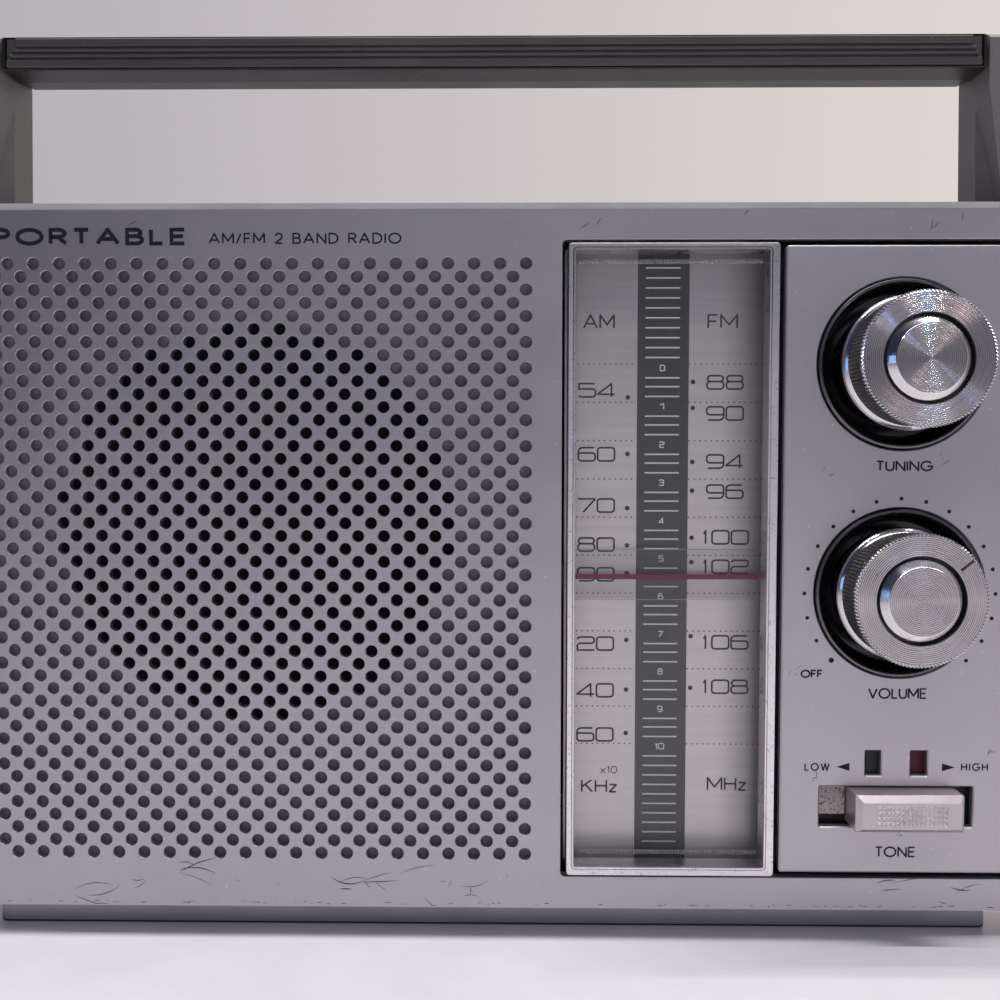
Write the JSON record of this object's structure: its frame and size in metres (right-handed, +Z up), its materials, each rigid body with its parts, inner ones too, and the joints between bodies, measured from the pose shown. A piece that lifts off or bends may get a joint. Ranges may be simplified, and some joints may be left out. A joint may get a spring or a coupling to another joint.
{
  "type": "tabletop radio",
  "caption": "Portable AM/FM table radio with perforated speaker grille, vertical slide-rule dial, tuning and volume knobs, tone slide, folding handle and telescopic antenna",
  "frame": {"origin": "centre of the bounding box on the surface the radio stands on, with the handle upright and the antenna stowed", "axes": "+X to the right of the front face, +Y to the back, +Z up; the front face looks along -Y"},
  "size_m": [0.264, 0.0918, 0.2133],
  "materials": {
    "face_paint": "silver paint, satin",
    "case_plastic": "fine textured",
    "plinth_plastic": "satin",
    "screw_steel": "zinc plated",
    "dial_chrome": "bright, lightly worn",
    "clear_plastic": "clear acrylic",
    "dial_silver": "finely brushed, printed",
    "well_plastic": "black with bright lip",
    "knob_aluminium": "spun and knurled",
    "inner_steel": "plain",
    "pulley_plastic": "natural nylon",
    "cord_fibre": "waxed cord",
    "pointer_red": "deep red",
    "inner_plastic": "black",
    "speaker_cloth": "black dust cloth",
    "speaker_paper": "pressed pulp",
    "magnet_ferrite": "sintered ferrite",
    "coil_copper": "enamelled copper wire",
    "board": "phenolic board",
    "cell_jacket": "plain printed jacket",
    "handle_plastic": "satin",
    "strip_plastic": "ribbed",
    "antenna_chrome": "bright"
  },
  "bodies": {
    "case": {"front_bezel": "face_paint", "rear_cabinet": "case_plastic", "base_plinth": "plinth_plastic", "case_screw_1": "screw_steel", "case_screw_2": "screw_steel", "case_screw_3": "screw_steel", "case_screw_4": "screw_steel", "dial_frame": "dial_chrome", "dial_lens": "clear_plastic", "dial_plate": "dial_silver", "control_panel": "face_paint", "dial_chassis": "inner_steel", "tuning_well": "well_plastic", "volume_well": "well_plastic", "volume_potentiometer": "inner_steel", "dial_cord": "cord_fibre", "tone_switch": "inner_plastic", "band_switch": "inner_plastic", "speaker_cloth": "speaker_cloth", "speaker_basket": "inner_steel", "speaker_cone": "speaker_paper", "speaker_magnet": "magnet_ferrite", "circuit_board": "board", "tuning_capacitor": "inner_steel", "ferrite_rod": "magnet_ferrite", "ferrite_coil": "coil_copper", "transformer": "inner_steel", "ac_inlet": "inner_plastic", "earphone_jack": "inner_plastic", "battery_tray": "inner_plastic", "battery_cell_1": "cell_jacket", "battery_cell_2": "cell_jacket", "battery_cell_3": "cell_jacket", "battery_cell_4": "cell_jacket", "handle_pivot_left": "dial_chrome", "handle_pivot_right": "dial_chrome"},
    "handle": {"handle_grip": "handle_plastic", "grip_strip": "strip_plastic", "handle_arm_left": "handle_plastic", "handle_arm_right": "handle_plastic"},
    "tuning": {"tuning_knob": "knob_aluminium", "tuning_cap": "knob_aluminium", "tuning_spindle": "inner_steel"},
    "drum": {"cord_drum": "pulley_plastic"},
    "upper_pulley": {"cord_pulley_top": "pulley_plastic"},
    "lower_pulley": {"cord_pulley_bottom": "pulley_plastic"},
    "pointer": {"pointer_plate": "clear_plastic", "pointer_line": "pointer_red"},
    "volume": {"volume_knob": "knob_aluminium", "volume_cap": "knob_aluminium", "volume_shaft": "inner_steel"},
    "tone": {"tone_knob": "knob_aluminium", "tone_flag": "pointer_red"},
    "band": {"band_slider": "inner_plastic"},
    "battery_cover": {"battery_door": "case_plastic"},
    "antenna_base": {"antenna_swivel": "antenna_chrome"},
    "antenna_1": {"antenna_tube_1": "antenna_chrome"},
    "antenna_2": {"antenna_tube_2": "antenna_chrome"},
    "antenna_3": {"antenna_tube_3": "antenna_chrome"},
    "antenna_end": {"antenna_tip": "antenna_chrome"}
  },
  "joints": [
    {"name": "handle_fold", "type": "hinge", "parent": "case", "child": "handle", "pos_m": [0, -0.00735, 0.14], "axis": [-1, 0, 0], "range_deg": [0, 90]},
    {"name": "tuning_turn", "type": "hinge", "parent": "case", "child": "tuning", "pos_m": [0.0951, 0, 0.1332], "axis": [0, 1, 0], "range_deg": [-716, 601]},
    {"name": "drum_turn", "type": "hinge", "parent": "case", "child": "drum", "pos_m": [0.058, 0, 0.062], "axis": [0, 1, 0], "range_deg": [-83, 99]},
    {"name": "upper_pulley_turn", "type": "hinge", "parent": "case", "child": "upper_pulley", "pos_m": [0.018, 0, 0.156], "axis": [0, 1, 0], "range_deg": [-802, 955]},
    {"name": "lower_pulley_turn", "type": "hinge", "parent": "case", "child": "lower_pulley", "pos_m": [0.018, 0, 0.02], "axis": [0, 1, 0], "range_deg": [-802, 955]},
    {"name": "pointer_slide", "type": "slide", "parent": "case", "child": "pointer", "axis": [0, 0, 1], "range_m": [-0.042, 0.05]},
    {"name": "volume_turn", "type": "hinge", "parent": "case", "child": "volume", "pos_m": [0.0951, 0, 0.0803], "axis": [0, 1, 0], "range_deg": [-186, 84]},
    {"name": "tone_slide", "type": "slide", "parent": "case", "child": "tone", "axis": [1, 0, 0], "range_m": [-0.005, 0]},
    {"name": "band_slide", "type": "slide", "parent": "case", "child": "band", "axis": [0, 0, 1], "range_m": [0, 0.01]},
    {"name": "battery_door_hinge", "type": "hinge", "parent": "case", "child": "battery_cover", "pos_m": [0, 0.0444, 0.01155], "axis": [-1, 0, 0], "range_deg": [0, 95]},
    {"name": "antenna_swing", "type": "hinge", "parent": "case", "child": "antenna_base", "pos_m": [0.105, 0.03815, 0.164], "axis": [0, 0, -1], "range_deg": [0, 180]},
    {"name": "antenna_tilt", "type": "hinge", "parent": "antenna_base", "child": "antenna_1", "pos_m": [0.105, 0.03815, 0.164], "axis": [0, 1, 0], "range_deg": [0, 90]},
    {"name": "antenna_draw_1", "type": "slide", "parent": "antenna_1", "child": "antenna_2", "axis": [-1, 0, 0], "range_m": [0, 0.185]},
    {"name": "antenna_draw_2", "type": "slide", "parent": "antenna_2", "child": "antenna_3", "axis": [-1, 0, 0], "range_m": [0, 0.18]},
    {"name": "antenna_draw_3", "type": "slide", "parent": "antenna_3", "child": "antenna_end", "axis": [-1, 0, 0], "range_m": [0, 0.175]}
  ],
  "couplings": [
    {"joint": "pointer_slide", "follows": "tuning_turn", "m_per_rad": -0.004},
    {"joint": "drum_turn", "follows": "tuning_turn", "ratio": -0.13699},
    {"joint": "upper_pulley_turn", "follows": "tuning_turn", "ratio": -1.3333},
    {"joint": "lower_pulley_turn", "follows": "tuning_turn", "ratio": -1.3333}
  ]
}
